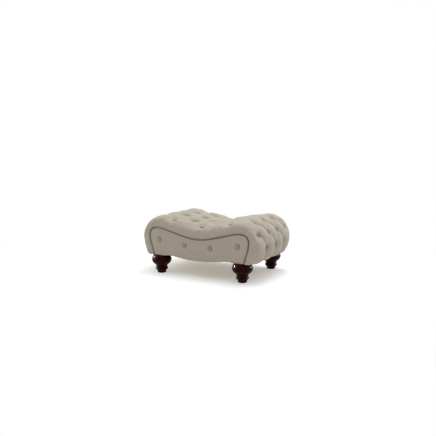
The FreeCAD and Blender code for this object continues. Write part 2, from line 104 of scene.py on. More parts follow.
# Folds and button pits on the seat and on the rolled ends: depths, and how wide the pits are
seat_fold, end_fold = 0.009, 0.020
seat_pit, end_pit = 0.019, 0.024
seat_reach, end_reach = 0.021, 0.023
last_row_narrower = 0.003
fold_sharpness = 0.43
band_smoothness, hem_smoothness = 0.92, 0.5
end_drawn_in = 0.002
puff_unevenness = 0.0014
crest_shift = 0.004

# Gathers round each button: heights, radius of their ring, its width and how many there are
seat_gather, end_gather = 0.0006, 0.0012
gather_radius, gather_width, gather_count = 0.024, 0.011, 11

# Pleats run on over the bands from the last buttons of the second column on either side
banded_columns = (-4, -2, 0, 2, 4)
pleated_column = 2
pleat_depth, pleat_width = 0.006, 0.024

# Where the padding isn't even. Sunk places: distance along and across, radius and depth
sunk_places = (
    (0.242, 0.150, 0.034, 0.0070),
    (-0.258, 0.200, 0.030, 0.0050),
    (0.348, 0.238, 0.032, 0.0050),
)
lower_half_depth = 0.0040
crease_along, crease_across, crease_lean = 0.007, 0.198, 0.538
crease_depth, crease_width = 0.0130, 0.019
dimple_across, dimple_depth = 0.218, 0.014

# How firmly the cloth is held along the folds, and on the bands in line with the columns, up to 1
fold_hold, band_hold = 0.94, 0.97

# Painted shade in the cloth's pits and folds, and how wide the painted shade of a pit is
painted_pit_shade, painted_upper_pit_shade = 1.15, 0.45
seat_painted_shade_width, end_painted_shade_width = 0.0205, 0.0155
painted_fold_shade, painted_shade_near_folds = 0.22, 0.75
panel_pit_painted_shade = 0.75

# The padding swells as cloth under air pressure, from a shape drawn in by this much
pressure = 4.0
swell_cap = 0.008
drawn_in = 0.0070


# Curves


class Outline:
    """A saddle line in the X-Z plane, walked from its middle and mirrored about X = 0.

    Its heading changes evenly between the ends of its runs, so a run is straight where its two
    headings are equal and round where they differ. A point is the sum of short steps along it.
    """

    def __init__(self, middle_height, run_ends, headings, steps=4000):
        self.walked = np.linspace(0, run_ends[-1], steps)
        heading = np.radians(np.interp(self.walked, run_ends, headings))
        step = self.walked[1]
        across = (np.cos(heading[1:]) + np.cos(heading[:-1])) / 2 * step
        upward = (np.sin(heading[1:]) + np.sin(heading[:-1])) / 2 * step
        self.x = np.concatenate([[0], np.cumsum(across)])
        self.z = middle_height + np.concatenate([[0], np.cumsum(upward)])

    def at(self, distance):
        """The points (x, z) that lie that far along the line, negative on the left half."""
        far = np.abs(distance)
        x = np.interp(far, self.walked, self.x) * np.sign(distance)
        return np.stack([x, np.interp(far, self.walked, self.z)], axis=-1)


trim = Outline(trim_middle_height, trim_ends, trim_headings)
puffs = Outline(puff_middle_height, puff_ends, puff_headings)


def rising_curve(knots, values, at):
    """A smooth rising curve through the values at the knots.

    Each stretch is a cubic. Its slope at an inner knot is the harmonic mean of the slopes of the
    two stretches that meet there, so it never turns back.
    """
    knots, values = np.asarray(knots), np.asarray(values)
    slope = np.diff(values) / np.diff(knots)
    inner = 2 * slope[1:] * slope[:-1] / (slope[1:] + slope[:-1])
    slopes = np.concatenate([[slope[0]], inner, [slope[-1]]])
    i = np.clip(np.searchsorted(knots, at) - 1, 0, len(knots) - 2)
    width = knots[i + 1] - knots[i]
    t = (at - knots[i]) / width
    return (
        (1 + 2 * t) * (1 - t) ** 2 * values[i]
        + t * (1 - t) ** 2 * width * slopes[i]
        + t * t * (3 - 2 * t) * values[i + 1]
        + t * t * (t - 1) * width * slopes[i + 1]
    )


def mirrored_curve(knots, values, at):
    """The same curve, with its left half turned about the origin."""
    return rising_curve(knots, values, np.abs(at)) * np.sign(at)


def smooth_step(low, high, value):
    """Rises from 0 to 1 between low and high, as 3t^2 - 2t^3."""
    t = np.clip((value - low) / (high - low), 0, 1)
    return t * t * (3 - 2 * t)


def bell(distance, width, power=2):
    """The bell e^-(d/w)^n, which is 1 at distance 0."""
    return np.exp(-((distance / width) ** power))


def bowl(distance, width, power):
    """The bowl 1 / (1 + (d/w)^n), which is 1 at distance 0 and a half at its width."""
    return 1 / (1 + (distance / width) ** power)


def ripples(u, v, longest, shortest, count, seed):
    """Soft unevenness: waves in many directions, whose heights add up to about 1."""
    draw = np.random.default_rng(seed)
    total = np.zeros(np.broadcast(u, v).shape)
    for angle, size, phase in zip(
        draw.uniform(0, math.pi, count),
        draw.uniform(0, 1, count),
        draw.uniform(0, 2 * math.pi, count),
    ):
        length = shortest + (longest - shortest) * size
        total += np.sin((u * math.cos(angle) + v * math.sin(angle)) * 2 * math.pi / length + phase)
    return total / math.sqrt(count)


# Meshes


def mesh_object(name, points, faces, uv=None, values=None):
    """A piece from vertices, faces with four corners each, corner UVs and values at vertices."""
    mesh = bpy.data.meshes.new(name)
    mesh.vertices.add(len(points))
    mesh.vertices.foreach_set("co", np.ascontiguousarray(points, dtype=np.float32).ravel())
    mesh.loops.add(faces.size)
    mesh.loops.foreach_set("vertex_index", faces.ravel().astype(np.int32))
    mesh.polygons.add(len(faces))
    starts = np.arange(0, faces.size, faces.shape[1], dtype=np.int32)
    mesh.polygons.foreach_set("loop_start", starts)
    mesh.update(calc_edges=True)
    if uv is not None:
        layer = mesh.uv_layers.new(name="cloth")
        layer.uv.foreach_set("vector", uv.astype(np.float32).ravel())
    for key, value in (values or {}).items():
        layer = mesh.attributes.new(key, "FLOAT", "POINT")
        layer.data.foreach_set("value", value.astype(np.float32).ravel())
    mesh.polygons.foreach_set("use_smooth", np.ones(len(faces), dtype=bool))
    piece = bpy.data.objects.new(name, mesh)
    bpy.context.scene.collection.objects.link(piece)
    return piece


def tube_faces(rows, columns):
    """Corners of the faces of a grid whose last column joins up with its first."""
    i, j = np.meshgrid(np.arange(rows - 1), np.arange(columns), indexing="ij")
    k = (j + 1) % columns
    this, following = i * columns, (i + 1) * columns
    return np.stack([this + j, following + j, following + k, this + k], axis=-1).reshape(-1, 4)


def tube_corners(plan):
    """The UVs at the corners of those faces, from a plan with one more column than the grid."""
    corners = [plan[:-1, :-1], plan[1:, :-1], plan[1:, 1:], plan[:-1, 1:]]
    return np.stack(corners, axis=2).reshape(-1, 2)


def tube_object(name, grid, plan=None, values=None):
    """A closed piece from a grid of points that runs round as a tube, with its ends filled."""
    uv = None if plan is None else tube_corners(plan)
    faces = tube_faces(*grid.shape[:2])
    return close_ends(mesh_object(name, grid.reshape(-1, 3), faces, uv, values))


def close_ends(piece):
    """Fills the open ends of a piece, joins vertices that meet, and turns its faces outwards."""
    work = bmesh.new()
    work.from_mesh(piece.data)
    bmesh.ops.remove_doubles(work, verts=work.verts, dist=2e-5)
    bmesh.ops.holes_fill(work, edges=[e for e in work.edges if e.is_boundary], sides=0)
    bmesh.ops.recalc_face_normals(work, faces=work.faces)
    work.to_mesh(piece.data)
    work.free()
    return piece


def turned_grid(profile, segments):
    """A profile of (radius, height) points turned once round: x, y and height for each angle."""
    profile = np.asarray(profile)
    angle = np.linspace(0, 2 * math.pi, segments, endpoint=False)
    x = profile[:, :1] * np.cos(angle)
    y = profile[:, :1] * np.sin(angle)
    return np.stack([x, y, np.repeat(profile[:, 1:], segments, axis=1)], axis=-1)


# Tufted cover


def pillow(column, row):
    """How far a place is up its puff: 0 in the folds of the diamond and 1 in the middle of a puff.

    Half the sum and half the difference of column and row are whole numbers in the middle of a
    puff, so the product of their cosines is 0 along both diagonals through each button.
    """
    p, q = (column + row) / 2, (column - row) / 2
    return np.abs(np.cos(math.pi * p) * np.cos(math.pi * q))


def at_end(column):
    """How far a column has passed from the seat, at 0, to a rolled end, at 1."""
    return smooth_step(2.5, 3.8, np.abs(column))


def seat_to_end(on_seat, on_end, column):
    """A value that passes from the seat's to the rolled end's."""
    return on_seat + (on_end - on_seat) * at_end(column)


def button_lattice():
    """Column and row of each tuft button: every second crossing, out to the last of each."""
    places = [
        (column, row)
        for column in range(-last_column, last_column + 1)
        for row in range(-last_row, last_row + 1)
        if (column + row) % 2
    ]
    return np.array(places, dtype=float)


def outward(points):
    """Unit normals of a grid of points: the cross product of its steps along columns and rows."""
    normal = np.cross(np.gradient(points, axis=0), np.gradient(points, axis=1))
    return normal / np.maximum(np.linalg.norm(normal, axis=-1, keepdims=True), 1e-12)


def half_section():
    """Half a section across the seat: y, and how far up it is from the trim line to the puff line.

    The top is a crown, a quarter of the curve x^n + y^n = 1 with n about 3. From its fullest place
    the face curls back to the seam as a quarter of an ellipse.
    """
    turn = np.linspace(0, math.pi / 2, 400)
    y = band_y * np.sin(turn) ** (2 / crown_power)
    share = 1 - crown_share * (1 - np.cos(turn) ** (2 / crown_power))
    curl = np.linspace(0, math.pi / 2, 60)[1:]
    y = np.concatenate([y, seam_y + (band_y - seam_y) * np.cos(curl)])
    share = np.concatenate([share, (1 - crown_share) * (1 - np.sin(curl))])
    return y, share


def whole_section():
    """The section mirrored to both sides, at even distances along it, and those distances."""
    y, share = half_section()
    walked = np.cumsum(np.hypot(np.diff(y), np.diff(share) * crown_height))
    walked = np.concatenate([[0], walked])
    even = np.linspace(0, walked[-1], round(walked[-1] / cell) + 1)
    y, share = np.interp(even, walked, y), np.interp(even, walked, share)
    y = np.concatenate([-y[:0:-1], y])
    share = np.concatenate([share[:0:-1], share])
    return y, share, np.concatenate([-even[:0:-1], even])


class Cover:
    """The padded cover as a grid: rows along the stool, columns across it from the front seam."""

    def __init__(self):
        reach = puff_ends[-1]
        self.along = np.linspace(-reach, reach, 2 * round(reach / cell) + 1)
        table = np.linspace(0, last_column + 1, 2000)
        table_puff = rising_curve(column_numbers, puff_columns, table)
        self.column = np.interp(np.abs(self.along), table_puff, table) * np.sign(self.along)
        self.low = trim.at(mirrored_curve(column_numbers, trim_columns, self.column))
        self.high = puffs.at(self.along)
        self.rise = np.linalg.norm(self.high - self.low, axis=1)
        self.y, self.share, self.across = whole_section()
        self.row = self.across / row_pitch
        self.base = self.place()
        self.normal = outward(self.base)
        self.buttons = button_lattice()

    def place(self):
        """The even surface: from the trim line of each row, share of the way to its puff line."""
        flat = self.low[:, None] + (self.high - self.low)[:, None] * self.share[None, :, None]
        y = np.broadcast_to(self.y, flat.shape[:2])
        return np.stack([flat[..., 0], y, flat[..., 1]], axis=-1)

    def column_place(self, column):
        """How far along the puff line a column of buttons is."""
        return mirrored_curve(column_numbers, puff_columns, np.array(float(column)))

    def folded(self, valley, tufted):
        """The depth of the folds between the puffs, which rise as a power of the pillow.

        The tops of the puffs are drawn in, for the swelling. Along the crests at either end the
        seat's middle rows lie lower and its edges higher.
        """
        column, row = np.abs(self.column)[:, None], np.abs(self.row)[None, :]
        u, v = self.along[:, None], self.across[None, :]
        up = valley**fold_sharpness
        hem = smooth_step(5.2, 6.0, column)
        edge = smooth_step(0.0, 0.5, self.share[None, :])
        crest = smooth_step(2.0, 3.0, column) * (1 - smooth_step(3.4, 4.4, column))
        fold = seat_to_end(seat_fold, end_fold, column) * (1 - band_smoothness * (1 - tufted))
        depth = fold * (1 - hem_smoothness * hem) * (1 - up) + end_drawn_in * at_end(column)
        depth = depth + drawn_in * up * edge * (1 - hem) * (1 - 0.5 * crest)
        waves = ripples(u, v, longest=0.32, shortest=0.12, count=16, seed=3)
        depth += puff_unevenness * up * tufted * waves
        middle_rows = 1 - smooth_step(1.5, 2.8, row)
        return depth + crest_shift * crest * (middle_rows - bell(row - 3.2, 0.6))

    def uneven(self, tufted):
        """How much lower the padding is where it isn't even.

        The right half of the seat is lower, with soft ends. Sunk places are bells. A crease slants
        over the back of the dip, as a bell across it. The middle of each band has a dimple, left
        out at the button's own pit.
        """
        u, v = self.along[:, None], self.across[None, :]
        right_half = smooth_step(0.035, 0.075, u) * (1 - smooth_step(0.19, 0.26, u))
        depth = lower_half_depth * right_half * tufted
        for along, across, radius, lower in sunk_places:
            depth += lower * bell(np.hypot(u - along, v - across), radius)
        aside = np.abs(u - crease_along - crease_lean * (crease_across - v))
        crease = bell(aside, crease_width, 1.4) * smooth_step(0.0, 0.05, v)
        depth += crease_depth * crease * tufted
        dimple = bell(u, 0.030) * bell(np.abs(v) - dimple_across, 0.028)
        button = bowl(np.hypot(u, np.abs(v) - last_row * row_pitch), 0.016, 4)
        return depth + dimple_depth * dimple * (1 - button)

    def press(self):
        """How far the cloth is drawn in, how firmly it is held there, and how much shade is painted
        on it.

        To the folds and the unevenness come pleats over the bands, as bells, a pit at each button,
        as a bowl, and small gathers round it, a ring of waves. The cloth is held in the pits, at
        its seams and hem, and nearly as firmly along the folds and on the bands in line with some
        columns. Shade is painted into the pits and into the folds that run into them, but not into
        the last pits of the seat.
        """
        column, row = self.column[:, None], self.row[None, :]
        u, v = self.along[:, None], self.across[None, :]
        within = np.clip(column, -last_column, last_column)
        valley = pillow(within, np.clip(row, -last_row, last_row))
        tufted = 1 - smooth_step(3.0, 4.3, np.abs(row))
        depth = self.folded(valley, tufted) + self.uneven(tufted)
        crease = 1 - smooth_step(0.0, 0.16, valley)
        # Painted shade along the folds of the rolled ends
        shade = painted_fold_shade * crease * at_end(column) * tufted
        held = fold_hold * (1 - smooth_step(0.02, 0.18, valley)) * tufted
        over = smooth_step(2.8, 3.3, np.abs(row)) * (1 - smooth_step(3.9, 5.0, np.abs(row)))
        for c in banded_columns:
            away = np.abs(u - self.column_place(c))
            if abs(c) == pleated_column:
                depth += pleat_depth * bell(away, pleat_width, 1.3) * over
            held = np.maximum(held, band_hold * bell(away, 0.008) * over)
        turns = chance.uniform(0, 2 * math.pi, len(self.buttons))
        for (c, r), turn in zip(self.buttons, turns):
            aside, ahead = u - self.column_place(c), v - r * row_pitch
            far = np.hypot(aside, ahead)
            last, on_seat = abs(r) == last_row, at_end(c) < 0.5
            reach = seat_to_end(seat_reach, end_reach, c) - last_row_narrower * last
            depth += seat_to_end(seat_pit - seat_fold, end_pit - end_fold, c) * bowl(far, reach, 4)
            ring = bell(far - gather_radius, gather_width)
            waves = np.cos(gather_count * np.arctan2(ahead, aside) + turn)
            depth += seat_to_end(seat_gather, end_gather, c) * ring * waves
            held = np.maximum(held, 1 - smooth_step(0.011, 0.017, far))
            # Painted shade in each pit and in the folds near it, lighter in the upper pits, none in
            # the seat's last row
            if not (last and on_seat):
                dark = bowl(far, seat_painted_shade_width if on_seat else end_painted_shade_width, 5)
                dark = np.maximum(dark, painted_shade_near_folds * crease * bell(far, 0.034))
                shade = np.maximum(shade, dark * (painted_upper_pit_shade if abs(c) == 3 else painted_pit_shade))
        held = np.maximum(held, 1 - smooth_step(0.10, 0.30, self.share[None, :]))
        held = np.maximum(held, smooth_step(5.6, 5.95, np.abs(column)))
        return np.minimum(depth, self.room()), np.clip(held, 0, 1), np.clip(shade, 0, 1)

    def room(self):
        """How far in the cloth can go: its distance from the foam and the edge roll, less its own.

        In the section the two are boxes, and the distance from a box is the length of what is left
        of the ways beside it and above it once the negative ones are 0. The nearer of the two is
        taken softly, as minus the logarithm of the sum of both distances' falling exponentials.
        """
        soft, cloth, least = 0.002, 0.0035, 0.001
        height = self.share[None, :] * self.rise[:, None]
        aside = np.abs(self.y)[None, :]
        foam_top = self.rise[:, None] - pad_thickness
        foam = np.hypot(np.maximum(aside - board_inner_y, 0), np.maximum(height - foam_top, 0))
        roll = np.hypot(np.maximum(aside - roll_y, 0), np.maximum(height - roll_top, 0))
        nearer = -soft * np.log(np.exp(-foam / soft) + np.exp(-roll / soft))
        return np.maximum(nearer - cloth, least)

    def inside(self):
        """The faces that lie on the foam and the edge rolls, as columns from the back seam."""
        seam_gap, cloth = 0.0002, 0.001
        foam_top = 1 - (pad_thickness - cloth) / self.rise
        steps = [
            (seam_y - cloth, seam_gap / self.rise),
            (roll_y, seam_gap / self.rise),
            (roll_y, roll_top / self.rise),
            (board_inner_y, roll_top / self.rise),
            (board_inner_y, foam_top),
        ]
        columns = []
        for y, share in steps + [(-y, share) for y, share in steps[::-1]]:
            flat = self.low + (self.high - self.low) * share[:, None]
            columns.append(np.stack([flat[:, 0], np.full(len(share), y), flat[:, 1]], axis=-1))
        return np.stack(columns, axis=1)


def swell(piece, frames=20, levels=20):
    """Lets a closed mesh swell as cloth under air pressure, where it isn't held, up to a cap.

    Where a vertex moves further than the cap, its move is scaled down to that length.
    """
    mesh = piece.data
    count = len(mesh.vertices)
    start = np.empty(3 * count, dtype=np.float32)
    mesh.vertices.foreach_get("co", start)
    held = np.empty(count, dtype=np.float32)
    mesh.attributes["held"].data.foreach_get("value", held)
    group = piece.vertex_groups.new(name="held")
    level = np.round(held * levels).astype(int)
    for step in range(1, levels + 1):
        group.add(np.nonzero(level == step)[0].tolist(), step / levels, "REPLACE")
    cloth = piece.modifiers.new("Cloth", "CLOTH")
    settings = cloth.settings
    settings.quality = 5
    settings.mass = 0.3
    settings.tension_stiffness = settings.compression_stiffness = 15
    settings.shear_stiffness = 5
    settings.bending_stiffness = 0.3
    settings.use_pressure = True
    settings.uniform_pressure_force = pressure
    settings.shrink_min = -0.03
    settings.vertex_group_mass = group.name
    settings.effector_weights.gravity = 0
    cloth.collision_settings.use_collision = False
    scene = bpy.context.scene
    for at in range(1, frames + 1):
        scene.frame_set(at)
    swollen = piece.evaluated_get(bpy.context.evaluated_depsgraph_get()).data
    moved = np.empty(3 * count, dtype=np.float32)
    swollen.vertices.foreach_get("co", moved)
    move = (moved - start).reshape(-1, 3)
    length = np.linalg.norm(move, axis=1, keepdims=True)
    move *= np.minimum(1, swell_cap / np.maximum(length, 1e-9))
    piece.modifiers.remove(cloth)
    scene.frame_set(1)
    mesh.vertices.foreach_set("co", start + move.ravel())
    mesh.update()


def make_cover(cover):
    """The tufted cover: its outer cloth, closed by the faces on the foam and the edge rolls.

    At the hem the cloth tucks in round a quarter of a circle.
    """
    depth, held, shade = cover.press()
    outer = cover.base - cover.normal * depth[..., None]
    hem = 0.007
    past = np.clip((np.abs(cover.along) - (puff_ends[-1] - hem)) / hem, 0, 1)
    tuck = hem * (1 - np.sqrt(1 - past**2))
    outer[..., 0] -= (np.sign(cover.along) * tuck)[:, None] * cover.share[None, :]
    inner = cover.inside()
    grid = np.concatenate([outer, inner], axis=1)
    rows, columns = grid.shape[:2]
    u = np.repeat(cover.along[:, None], columns + 1, axis=1)
    tail = cover.across[-1] + 0.01 * np.arange(1, columns + 2 - len(cover.across))
    v = np.repeat(np.concatenate([cover.across, tail])[None, :], rows, axis=0)
    hidden = np.ones(inner.shape[:2])
    # The fold attribute carries painted shade: that of the pits and folds outside, and full shade
    # on the hidden inner faces
    values = {
        "fold": np.concatenate([shade, hidden], axis=1),
        "held": np.concatenate([held, hidden], axis=1),
    }
    piece = tube_object("cover", grid, np.stack([u, v], axis=-1), values)
    swell(piece)
    finer = piece.modifiers.new("Subdivision", "SUBSURF")
    finer.levels = finer.render_levels = 1
    return piece


cover = Cover()
cover_piece = make_cover(cover)
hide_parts("tufted_cover")
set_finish(cover_piece, "upholstery")


# Facing panels


def belly(x):
    """Height of a facing's lower edge: level at its ends, a short rise, then a hanging arc."""
    half, drop, bottom = 0.198, 0.018, 0.108
    radius = (half**2 + drop**2) / (2 * drop)
    arc = bottom + radius - np.sqrt(radius**2 - np.clip(x, -half, half) ** 2)
    rise = np.interp(np.abs(x), [half, 0.258], [bottom + drop, base_height])
    return np.where(np.abs(x) < half, arc, rise)


def nearest(points, line):
    """Distance from each point to the nearest vertex of a line."""
    return np.min(np.linalg.norm(points[..., None, :] - line, axis=-1), axis=-1)


def panel_bulge(flat, to_trim, to_hem):
    """How far a facing stands out, and how much shade is painted on it.

    It rises from its trim as 1 - e^-d and from its hem as a smooth step, and rounds off at the hem.
    Each button has a pit, as a bowl, with painted shade in it, and small gathers round it, a ring
    of waves.
    """
    crown, flat_edge, slope = 0.0034, 0.010, 0.014
    unevenness, gather = 0.0004, 0.0005
    hem_depth, hem_width = 0.006, 0.006
    pit_depth, pit_reach = 0.006, 0.0148
    x, z = flat[..., 0], flat[..., 1]
    bulge = crown * (1 - np.exp(-np.clip(to_trim - flat_edge, 0, 1) / slope))
    bulge *= smooth_step(-0.004, 0.03, to_hem)
    bulge += unevenness * ripples(x, z, longest=0.22, shortest=0.07, count=12, seed=11)
    bulge -= hem_depth * (1 - smooth_step(0, hem_width, to_hem)) ** 2
    # dark is the painted shade in the button pits
    dark = np.zeros(bulge.shape)
    for (button_x, button_z), turn in zip(panel_button_places, chance.uniform(0, 6, 4)):
        aside, ahead = x - button_x, z - button_z
        far = np.hypot(aside, ahead)
        pit = bowl(far, pit_reach, 6)
        waves = np.cos(9 * np.arctan2(ahead, aside) + turn)
        bulge -= pit_depth * pit + gather * bell(far - 0.022, 0.010) * waves
        dark += pit
    return bulge, np.clip(dark, 0, 1) * panel_pit_painted_shade


def make_panel(name, side):
    """A facing: lines fan out from its lower edge to the saddle line, and it bulges between."""
    reach = trim_ends[-1]
    walked = np.linspace(-reach, reach, 281)
    top = trim.at(walked)
    end_x = top[-1, 0]
    from_places = (0.0, 0.124, 0.248, 0.351, 0.444, reach)
    to_places = (0.0, 0.119, 0.226, 0.280, 0.309, end_x)
    x = mirrored_curve(from_places, to_places, walked)
    low = np.stack([x, belly(x)], axis=-1)
    steps = np.linspace(0, 1, 47)
    steps = (steps + smooth_step(0, 1, steps)) / 2
    flat = low[:, None] + (top - low)[:, None] * steps[None, :, None]
    hem_x = np.linspace(-end_x, end_x, 600)
    to_trim = nearest(flat, trim.at(np.linspace(-reach, reach, 900)))
    to_hem = nearest(flat, np.stack([hem_x, belly(hem_x)], axis=-1))
    bulge, dark = panel_bulge(flat, to_trim, to_hem)
    out = side * (facing_y - 0.0004 + bulge)
    ends = flat[:, [-1, 0]]
    inner_y = np.full(ends.shape[:2], side * board_outer_y)
    front = np.stack([flat[..., 0], out, flat[..., 1]], axis=-1)
    back = np.stack([ends[..., 0], inner_y, ends[..., 1]], axis=-1)
    plan = np.concatenate([flat, ends, flat[:, :1]], axis=1)
    # The fold attribute carries the pits' painted shade
    fold = np.concatenate([dark, np.zeros(ends.shape[:2])], axis=1)
    return tube_object(name, np.concatenate([front, back], axis=1), plan, {"fold": fold})


for side, face in ((-1, "front"), (1, "back")):
    panel = make_panel(face + "_panel", side)
    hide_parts(face + "_facing_panel")
    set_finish(panel, "upholstery")


# Buttons


def button_profile():
    """Radius and height of a covered button: a shallow dome, a rounded rim and a flat back."""
    dome_radius, rim_radius = 0.0098, 0.0027
    dome_height, dome_drop = 0.0072, 0.0026
    rim_height = dome_height - dome_drop - rim_radius
    far = np.linspace(0, dome_radius, 7)
    dome = np.stack([far, dome_height - dome_drop * (far / dome_radius) ** 2], axis=-1)
    turn = np.linspace(0, math.pi / 2, 9)[1:]
    rim_x = dome_radius + rim_radius * np.sin(turn)
    rim = np.stack([rim_x, rim_height + rim_radius * np.cos(turn)], axis=-1)
    back = np.array([[0.0122, 0.0], [0.006, 0.0], [0.0, 0.0]])
    return np.concatenate([dome, rim, back])


def make_buttons(name, seats, normals, shades):
    """Covered buttons, all from one turned profile, each set on its seat and facing its way.

    Each has its painted shade over the dome, and more painted shade down the rim.
    """
    grid = turned_grid(button_profile(), 28)
    rings, segments = grid.shape[:2]
    normals = normals / np.linalg.norm(normals, axis=1, keepdims=True)
    helper = np.where(np.abs(normals[:, 1:2]) > 0.9, [[1.0, 0, 0]], [[0, 1.0, 0]])
    side = np.cross(helper, normals)
    side /= np.linalg.norm(side, axis=1, keepdims=True)
    front = np.cross(normals, side)
    gather = 1 + 0.02 * np.cos(9 * np.linspace(0, 2 * math.pi, segments, endpoint=False))
    x = (grid[..., 0] * gather)[None, ..., None] * side[:, None, None]
    y = (grid[..., 1] * gather)[None, ..., None] * front[:, None, None]
    z = grid[..., 2][None, ..., None] * normals[:, None, None]
    points = seats[:, None, None] + x + y + z
    first = np.arange(len(seats))[:, None, None] * rings * segments
    faces = (first + tube_faces(rings, segments)[None]).reshape(-1, 4)
    plan = np.concatenate([grid[..., :2], grid[:, :1, :2]], axis=1)
    uv = np.tile(tube_corners(plan), (len(seats), 1))
    # Painted shade, for the fold attribute, from the dome's middle out to its back
    dome_to_back = [0, 5, 8, 14]
    fold = [
        np.interp(np.arange(rings), dome_to_back, [shade, shade, shade + 0.3, 0.9 + min(shade, 0)])
        for shade in shades
    ]
    fold = np.repeat(np.array(fold)[..., None], segments, axis=2)
    return close_ends(mesh_object(name, points.reshape(-1, 3), faces, uv, {"fold": fold}))


def seat_of(column, row):
    """Where a tuft button sits, straight in from the even surface, and which way it faces."""
    i = np.argmin(np.abs(cover.along - cover.column_place(column)))
    j = np.argmin(np.abs(cover.across - row * row_pitch))
    sink = seat_to_end(seat_pit, end_pit, column)
    return cover.base[i, j] - cover.normal[i, j] * sink, cover.normal[i, j]


# The buttons of the seat's outer row get less painted shade, and painted light on their domes
outer_row_painted_shade_cut = 0.45
# Each group's painted shade on its buttons: less on the seat, more on the rolled ends
for name, first, last, shade in (
    ("seat_buttons", -3, 3, 0.20),
    ("left_end_buttons", -5, -4, 0.62),
    ("right_end_buttons", 4, 5, 0.62),
):
    chosen = [(c, r) for c, r in cover.buttons if first <= c <= last]
    seats, normals = (np.array(part) for part in zip(*(seat_of(c, r) for c, r in chosen)))
    shades = [shade - outer_row_painted_shade_cut * (abs(r) == last_row and abs(c) < 3) for c, r in chosen]
    piece = make_buttons(name.replace("buttons", "covered_buttons"), seats, normals, shades)
    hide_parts(name)
    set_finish(piece, "button_cloth")

panel_button_sink = 0.0030
for side, face in ((-1, "front"), (1, "back")):
    y = side * (facing_y - panel_button_sink)
    seats = np.array([(x, y, z) for x, z in panel_button_places])
    normals = np.tile([[0.0, side, 0.0]], (len(seats), 1))
    piece = make_buttons(face + "_covered_buttons", seats, normals, [0.0] * len(seats))
    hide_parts(face + "_panel_buttons")
    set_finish(piece, "button_cloth")


# Feet


def bowed(r0, z0, r1, z1, share, count=8):
    """A round member of a turning, as a circle through three points.

    They are its two ends, and the point halfway up and share of the way out between them.
    """
    a, b = np.array([r0, z0]), np.array([r1, z1])
    m = np.array([r0 + (r1 - r0) * share, (z0 + z1) / 2])
    d = 2 * (a[0] * (m[1] - b[1]) + m[0] * (b[1] - a[1]) + b[0] * (a[1] - m[1]))
    ux = (a @ a) * (m[1] - b[1]) + (m @ m) * (b[1] - a[1]) + (b @ b) * (a[1] - m[1])
    uz = (a @ a) * (b[0] - m[0]) + (m @ m) * (a[0] - b[0]) + (b @ b) * (m[0] - a[0])
    centre = np.array([ux, uz]) / d
    start, middle, stop = (math.atan2(*(p - centre)[::-1]) for p in (a, m, b))
    middle = start + (middle - start + math.pi) % (2 * math.pi) - math.pi
    stop = middle + (stop - middle + math.pi) % (2 * math.pi) - math.pi
    angle = np.linspace(start, stop, count)
    return centre + math.dist(a, centre) * np.stack([np.cos(angle), np.sin(angle)], axis=-1)


def foot_profile():
    """Radius and height of a bun foot, from the middle of its sole to the middle of its top."""
    turn = np.linspace(-math.pi / 2, math.pi / 2, 14)
    ring = np.stack([0.0360 + 0.0042 * np.cos(turn), 0.030 + 0.007 * np.sin(turn)], axis=-1)
    return np.concatenate(
        [
            [[0.0, 0.003], [0.02, 0.003], [0.0272, 0.003], [0.028, 0.0036], [0.028, 0.006]],
            bowed(0.028, 0.009, 0.0360, 0.023, 0.33),
            ring[1:],
            [[0.0360, 0.041]],
            bowed(0.0360, 0.045, 0.0445, 0.057, 0.33),
            bowed(0.0445, 0.057, 0.0612, 0.0755, 0.62, 12)[1:],
            bowed(0.0612, 0.0755, 0.0637, 0.0900, 0.82, 10)[1:],
            bowed(0.0637, 0.0900, 0.0602, 0.1035, 0.24)[1:],
            bowed(0.0602, 0.1035, 0.0505, base_height, 0.38)[1:],
            [[0.048, base_height], [0.0, base_height]],
        ]
    )


for x, hand in ((-foot_x, "left"), (foot_x, "right")):
    for y, face in ((-foot_y, "front"), (foot_y, "back")):
        grid = turned_grid(foot_profile(), 96) + np.array([x, y, 0.0])
        foot = tube_object("bun_foot_" + face + "_" + hand, grid)
        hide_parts("foot_" + face + "_" + hand)
        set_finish(foot, "feet")


# Dust cover


def dust_outline(half_x, half_y, bite):
    """A rectangle with a round bite at each foot, as points at all angles round its middle.

    A point that lies beyond the near side of a foot's circle, as seen from the middle, moves in
    to that side.
    """
    corners = np.array([[1, -1], [1, 1], [-1, 1], [-1, -1], [1, -1]]) * [half_x, half_y]
    along_side = np.linspace(0, 1, 90, endpoint=False)[:, None]
    edge = np.concatenate([a + (b - a) * along_side for a, b in zip(corners, corners[1:])])
    for foot in np.sign(corners[:-1]) * [foot_x, foot_y]:
        length = np.linalg.norm(edge, axis=1)
        heading = edge / length[:, None]
        reach = heading @ foot
        inside = bite**2 - (foot @ foot - reach**2)
        near = reach - np.sqrt(np.maximum(inside, 0))
        hit = (inside > 0) & (reach > 0) & (near < length)
        edge = np.where(hit[:, None], heading * near[:, None], edge)
    return edge


def make_dust_cover():
    """The cloth stretched under the frame, and its flat area: a thin sheet that sags a little.

    Rings run from its outline to its middle. The sag is the product of 1 - x^2 and 1 - y^2, with
    soft unevenness, and is 0 along the outline. The area is the outline's, by the sum of the cross
    products of its points.
    """
    half_x, half_y = 0.3088, 0.2332
    upper, lower = base_height - 0.0002, base_height - 0.0009
    deepest, unevenness = 0.0035, 0.0005
    edge = dust_outline(half_x, half_y, bite=0.0610)
    shrink = np.linspace(1, 0.02, 26)[:, None, None]
    flat = edge[None] * shrink
    x, y = flat[..., 0], flat[..., 1]
    sag = deepest * np.clip(1 - (x / half_x) ** 2, 0, 1) * np.clip(1 - (y / half_y) ** 2, 0, 1)
    waves = ripples(x, y, longest=0.16, shortest=0.05, count=14, seed=5)
    sag += unevenness * (1 - shrink[..., 0] ** 4) * waves
    low, high = (np.stack([x, y, z - np.maximum(sag, 0)], axis=-1) for z in (lower, upper))
    following = np.roll(edge, -1, axis=0)
    area = abs(np.sum(edge[:, 0] * following[:, 1] - edge[:, 1] * following[:, 0])) / 2
    return tube_object("dust_cloth", np.concatenate([low[::-1], high])), area


dust_cloth, dust_area = make_dust_cover()
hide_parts("dust_cover")
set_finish(dust_cloth, "dust_cloth")


# Materials


